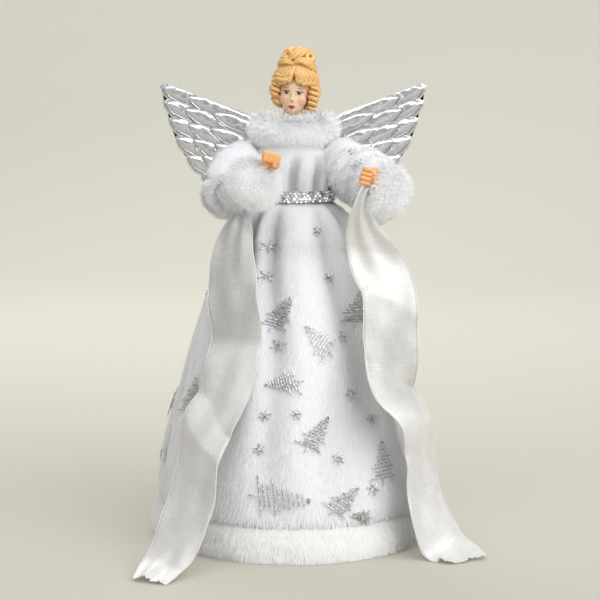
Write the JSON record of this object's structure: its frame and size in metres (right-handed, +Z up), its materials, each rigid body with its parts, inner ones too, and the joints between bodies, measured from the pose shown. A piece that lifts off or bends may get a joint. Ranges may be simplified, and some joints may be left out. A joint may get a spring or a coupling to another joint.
{
  "type": "angel tree topper",
  "caption": "Standing angel for the tip of a decorated tree: plush dress over an open card cone, fur trim, foil wings, jointed arms, turning head and a long ribbon scarf.",
  "frame": {"origin": "centre of the cone's open mouth, level with the flat bottom of the hem", "axes": "+Z up along the cone's axis, -Y towards the front of the figure, +X towards the viewer's right"},
  "size_m": [0.2136, 0.2267, 0.3131],
  "materials": {
    "plush": "brushed plush with silver thread",
    "fur": "long faux fur",
    "ribbon": "metallic organza",
    "foil": "padded silver foil",
    "sequin": "silver sequins",
    "card": "plain card",
    "foam": "light foam",
    "skin": "painted resin",
    "hair": "painted resin",
    "wire": "bare wire"
  },
  "bodies": {
    "dress": {"cone_core": "card", "skirt": "plush", "hem_trim": "fur", "torso_form": "foam", "shoulder_wire": "wire", "bodice": "plush", "belt": "sequin", "collar": "fur", "wing_plate": "card", "ribbon_back": "ribbon"},
    "head": {"head": "skin", "hair": "hair"},
    "left_arm": {"left_sleeve": "plush", "left_cuff": "fur", "left_hand": "skin", "left_arm_wire": "wire", "ribbon_left_tail": "ribbon"},
    "left_wing": {"left_wing": "foil", "left_wing_backing": "foil"},
    "right_arm": {"right_sleeve": "plush", "right_cuff": "fur", "right_hand": "skin", "right_arm_wire": "wire", "ribbon_right_tail": "ribbon"},
    "right_wing": {"right_wing": "foil", "right_wing_backing": "foil"}
  },
  "joints": [
    {"name": "head_turn", "type": "hinge", "parent": "dress", "child": "head", "pos_m": [0, 0, 0.258], "axis": [0, 0, 1], "range_deg": [-40, 40]},
    {"name": "left_arm_raise", "type": "hinge", "parent": "dress", "child": "left_arm", "pos_m": [-0.03, 0, 0.246], "axis": [-1, 0, 0], "range_deg": [-10, 45], "deforming": ["ribbon_left_tail"]},
    {"name": "left_wing_fold", "type": "hinge", "parent": "dress", "child": "left_wing", "pos_m": [-0.0131, 0.02685, 0.25], "axis": [0, 0, -1], "range_deg": [0, 70]},
    {"name": "right_arm_raise", "type": "hinge", "parent": "dress", "child": "right_arm", "pos_m": [0.03, 0, 0.246], "axis": [-1, 0, 0], "range_deg": [-10, 45], "deforming": ["ribbon_right_tail"]},
    {"name": "right_wing_fold", "type": "hinge", "parent": "dress", "child": "right_wing", "pos_m": [0.0131, 0.02685, 0.25], "axis": [0, 0, 1], "range_deg": [0, 70]}
  ]
}
